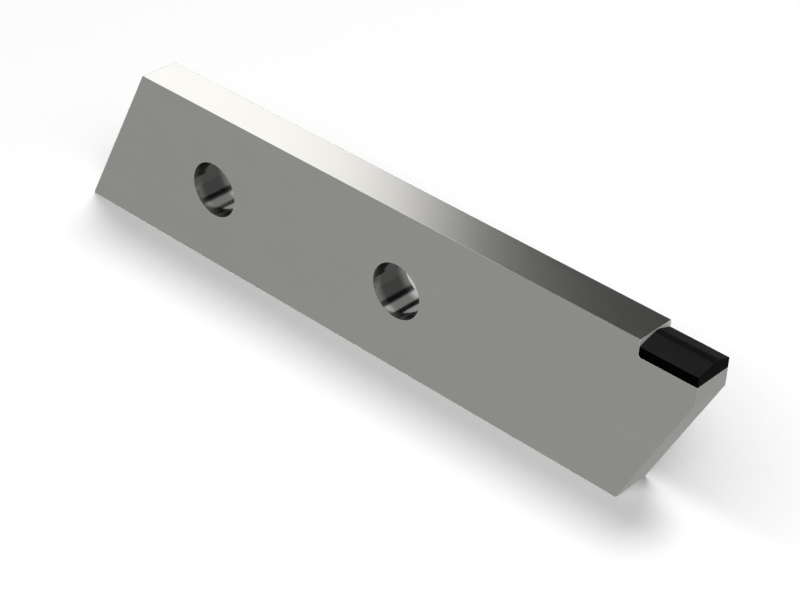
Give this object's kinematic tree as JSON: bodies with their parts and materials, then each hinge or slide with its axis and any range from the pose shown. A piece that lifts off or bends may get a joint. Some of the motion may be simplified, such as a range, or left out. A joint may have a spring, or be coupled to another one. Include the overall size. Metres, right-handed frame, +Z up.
{
  "type": "spreader blade",
  "caption": "Flat steel spreader blade with slanted ends and bolt holes through its face, and a roof-shaped black carbide tip brazed into a notch at its leading upper corner.",
  "frame": {"origin": "on the back face, which is bolted to the carrier, halfway between the bolt holes and on the middle of the bar's width", "axes": "+X along the blade towards its carbide tip, +Y out of the back face, +Z up across the bar's width, from the long lower edge that it stands on towards the tipped edge"},
  "size_m": [0.1779, 0.01, 0.04],
  "materials": {
    "bar_steel": "ground, satin",
    "carbide": "black, sintered and ground"
  },
  "bodies": {
    "root": {"blade_body": "bar_steel", "carbide_tip": "carbide"}
  },
  "joints": []
}
